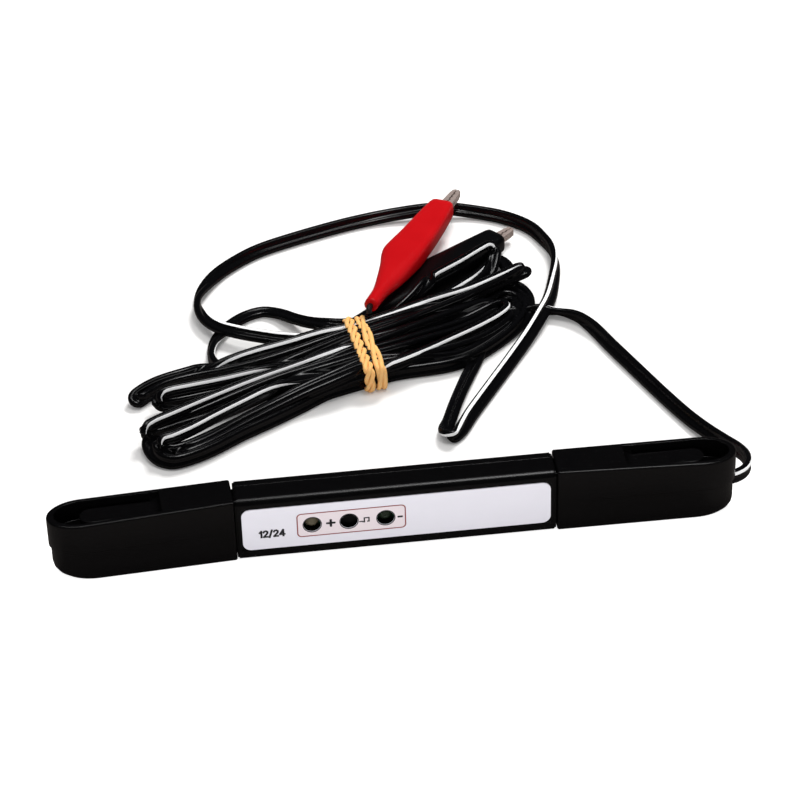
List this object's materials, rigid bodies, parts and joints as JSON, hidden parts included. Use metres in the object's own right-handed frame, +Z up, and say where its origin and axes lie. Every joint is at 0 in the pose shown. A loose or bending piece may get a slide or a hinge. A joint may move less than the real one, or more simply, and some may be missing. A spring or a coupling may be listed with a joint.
{
  "type": "voltage test pen",
  "caption": "Pen-shaped automotive voltage tester with a pull-off probe cap, lamps, a tied flat two-core cord and two crocodile clips.",
  "frame": {"origin": "under the middle of the pen's middle section, on the surface that the pen stands on", "axes": "+X along the pen from the probe end towards the cord end, +Y away from the label face, +Z up"},
  "size_m": [0.2083, 0.1835, 0.0211],
  "materials": {
    "case_plastic": "moulded black plastic with a soft sheen and bright narrow edge reflections",
    "label_film": "satin white label film",
    "board": "green circuit board",
    "lamp_clear": "clear lamp body with a warm tint",
    "lamp_green": "smoked green lamp body",
    "component_black": "black moulded component bodies",
    "component_tan": "tan lacquered resistors",
    "component_blue": "blue sleeved capacitor",
    "steel": "plated steel",
    "brass_part": "turned brass",
    "wire_red": "red insulated wire",
    "wire_black": "dark insulated wire",
    "rubber_black": "black rubber grommet",
    "cord_black": "black soft vinyl with a white stripe on one core",
    "rubber_tan": "natural tan rubber band",
    "boot_red": "red soft vinyl boot",
    "boot_black": "black soft vinyl boot",
    "spring_steel": "spring wire",
    "nickel": "nickel plated sheet steel, slightly dull"
  },
  "bodies": {
    "root": {"front_shell": "case_plastic", "rear_shell": "case_plastic", "cord_cap": "case_plastic", "label": "label_film", "circuit_board": "board", "led_plus": "lamp_clear", "led_minus": "lamp_green", "buzzer": "component_black", "chip": "component_black", "resistors": "component_tan", "transistors": "component_black", "capacitor": "component_blue", "probe_needle": "steel", "needle_collet": "brass_part", "probe_wire": "wire_red", "cord_anchor": "rubber_black", "inner_wires": "wire_black", "shell_screws": "steel", "cord_lead": "cord_black", "cord_long_loop": "cord_black", "cord_short_loop": "cord_black", "cord_hank": "cord_black", "band_left": "rubber_tan", "band_right": "rubber_tan", "red_boot": "boot_red", "red_fixed_jaw": "nickel", "red_rivet": "nickel", "red_spring": "spring_steel", "red_wire": "wire_black", "black_boot": "boot_black", "black_fixed_jaw": "nickel", "black_rivet": "nickel", "black_spring": "spring_steel", "black_wire": "wire_black"},
    "probe_cap": {"probe_cap": "case_plastic"},
    "red_jaw": {"red_moving_jaw": "nickel"},
    "black_jaw": {"black_moving_jaw": "nickel"}
  },
  "joints": [
    {"name": "probe_cap_slide", "type": "slide", "parent": "root", "child": "probe_cap", "axis": [-1, 0, 0], "range_m": [0, 0.045]},
    {"name": "red_jaw_hinge", "type": "hinge", "parent": "root", "child": "red_jaw", "pos_m": [0.0254, 0.14234, 0.00995], "axis": [0.0209, 0.0402, 0.999], "range_deg": [0, 15], "stiffness_Nm_per_rad": 0.05, "springref_deg": -17.19, "deforming": ["red_boot", "red_spring"]},
    {"name": "black_jaw_hinge", "type": "hinge", "parent": "root", "child": "black_jaw", "pos_m": [0.03178, 0.13107, 0.0036], "axis": [0, 0, 1], "range_deg": [0, 15], "stiffness_Nm_per_rad": 0.05, "springref_deg": -17.19, "deforming": ["black_boot", "black_spring"]}
  ]
}
